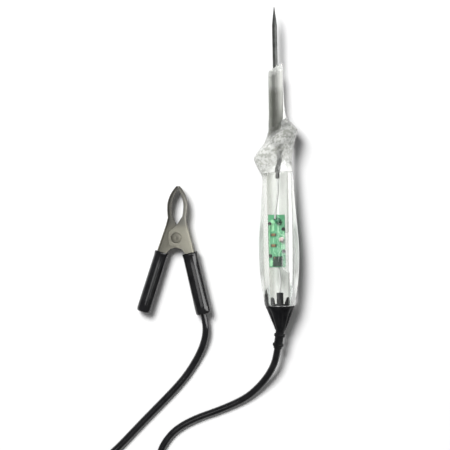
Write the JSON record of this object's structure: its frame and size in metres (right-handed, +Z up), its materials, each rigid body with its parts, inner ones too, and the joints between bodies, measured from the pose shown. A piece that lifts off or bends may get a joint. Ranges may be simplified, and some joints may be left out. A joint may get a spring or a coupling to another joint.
{
  "type": "circuit test light",
  "caption": "Handheld circuit tester: pointed steel probe, clear handle around a small lamp board, and a lead to a sprung ground clip.",
  "frame": {"origin": "on the surface the tester lies on, under the middle of the handheld part's box, which is measured without the lead and the clip", "axes": "+Y along the probe towards its tip, +Z up, +X to the right when the tip points away"},
  "size_m": [0.1519, 0.3376, 0.0264],
  "materials": {
    "probe_steel": "ground steel rod",
    "ferrule_steel": "dull plated steel",
    "clear_handle": "clear moulded plastic",
    "wire_insulation": "grey insulated wire",
    "board_green": "green board with solder mask",
    "lamp_green": "green tinted lamp case",
    "lamp_red": "pale pink lamp case",
    "chip_black": "dark moulded case",
    "resistor_body": "small fired body",
    "solder": "solder",
    "black_plastic": "black moulded plastic",
    "black_rubber": "black moulded rubber",
    "lead_jacket": "black lead jacket",
    "tie_strap": "black strap",
    "clip_steel": "plated pressed steel",
    "rivet_steel": "plated steel",
    "spring_steel": "dark spring steel",
    "grip_black": "black vinyl sleeve",
    "lug_copper": "tinned copper",
    "screw_steel": "plated steel"
  },
  "bodies": {
    "test_light": {"probe_needle": "probe_steel", "probe_ferrule": "ferrule_steel", "handle_shell": "clear_handle", "probe_lead_wire": "wire_insulation", "ground_wire": "wire_insulation", "circuit_board": "board_green", "led_green": "lamp_green", "led_red": "lamp_red", "control_chip": "chip_black", "resistors": "resistor_body", "solder_joints": "solder", "retainer_crown": "black_plastic", "strain_relief": "black_rubber", "cord_inner_end": "lead_jacket", "cord_tester_run": "lead_jacket", "cord_coil": "lead_jacket", "cord_tie": "tie_strap", "cord_clip_run": "lead_jacket", "cord_clip_end": "lead_jacket", "clip_fixed_jaw": "clip_steel", "clip_rivet": "rivet_steel", "clip_spring": "spring_steel", "fixed_grip": "grip_black", "lead_lug": "lug_copper", "terminal_screw": "screw_steel"},
    "moving_half": {"clip_moving_jaw": "clip_steel", "moving_grip": "grip_black"}
  },
  "joints": [
    {"name": "clip_hinge", "type": "hinge", "parent": "test_light", "child": "moving_half", "pos_m": [-0.0616, -0.03485, 0.0058], "axis": [0, 0, 1], "range_deg": [0, 31], "stiffness_Nm_per_rad": 0.35, "springref_deg": -38.39, "deforming": ["clip_spring"]}
  ]
}
